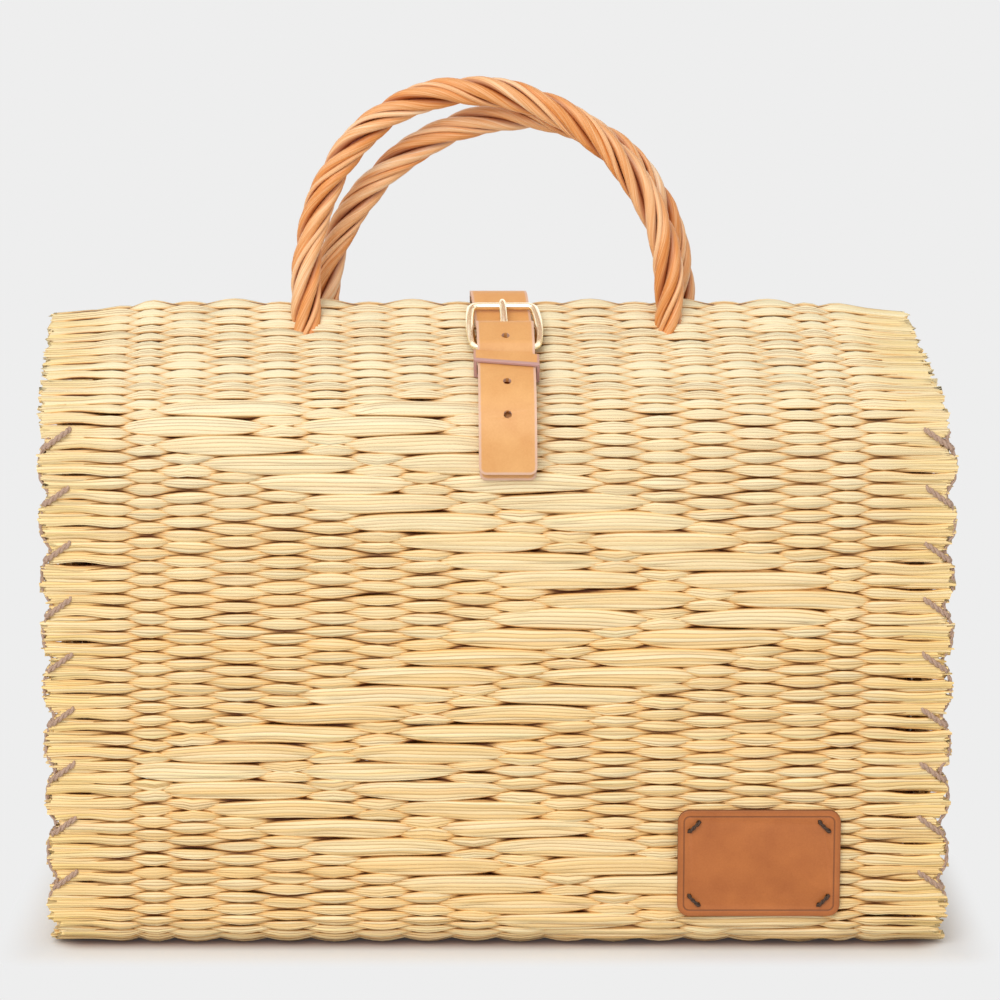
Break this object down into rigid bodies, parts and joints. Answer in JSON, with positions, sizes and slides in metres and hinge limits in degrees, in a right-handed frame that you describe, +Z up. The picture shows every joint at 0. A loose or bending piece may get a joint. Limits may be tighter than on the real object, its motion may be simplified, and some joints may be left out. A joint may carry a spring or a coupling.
{
  "type": "rush tote bag",
  "caption": "Box-shaped woven rush tote bag with sloping top flaps, sewn-in end gussets, twisted willow handles and a buckled leather strap that holds the top shut.",
  "frame": {"origin": "middle of the base, on the surface that the bag stands on", "axes": "+X across the bag's width to the right, +Y from the buckle side to the back, +Z up"},
  "size_m": [0.3754, 0.1429, 0.357],
  "materials": {
    "rush": "dry woven rush, satin",
    "gusset_rush": "dry woven rush, satin",
    "willow": "peeled willow, satin",
    "tan_leather": "smooth vegetable-tanned leather",
    "brown_leather": "smooth vegetable-tanned leather",
    "brass": "polished",
    "jute": "hairy twine",
    "thread": "waxed thread"
  },
  "bodies": {
    "bag": {"rush_mat": "rush", "gusset_left": "gusset_rush", "gusset_right": "gusset_rush", "seam_twine_left": "jute", "seam_twine_right": "jute", "handle_front": "willow", "handle_rear": "willow", "handle_ties": "jute", "closure_strap": "tan_leather", "strap_stitches": "thread", "buckle_chape": "tan_leather", "chape_stitches": "thread", "label_patch": "brown_leather", "patch_stitches": "thread"},
    "buckle": {"buckle_frame": "brass"},
    "prong": {"buckle_prong": "brass"},
    "keeper": {"strap_keeper": "tan_leather"}
  },
  "joints": [
    {"name": "buckle_tilt", "type": "hinge", "parent": "bag", "child": "buckle", "pos_m": [0, -0.03745, 0.24799], "axis": [1, 0, 0], "range_deg": [0, 2]},
    {"name": "prong_lift", "type": "hinge", "parent": "buckle", "child": "prong", "pos_m": [0, -0.03745, 0.24799], "axis": [1, 0, 0], "range_deg": [0, 2.8]},
    {"name": "keeper_slide", "type": "slide", "parent": "bag", "child": "keeper", "axis": [0, -0.848, -0.5299], "range_m": [0, 0.004]}
  ]
}
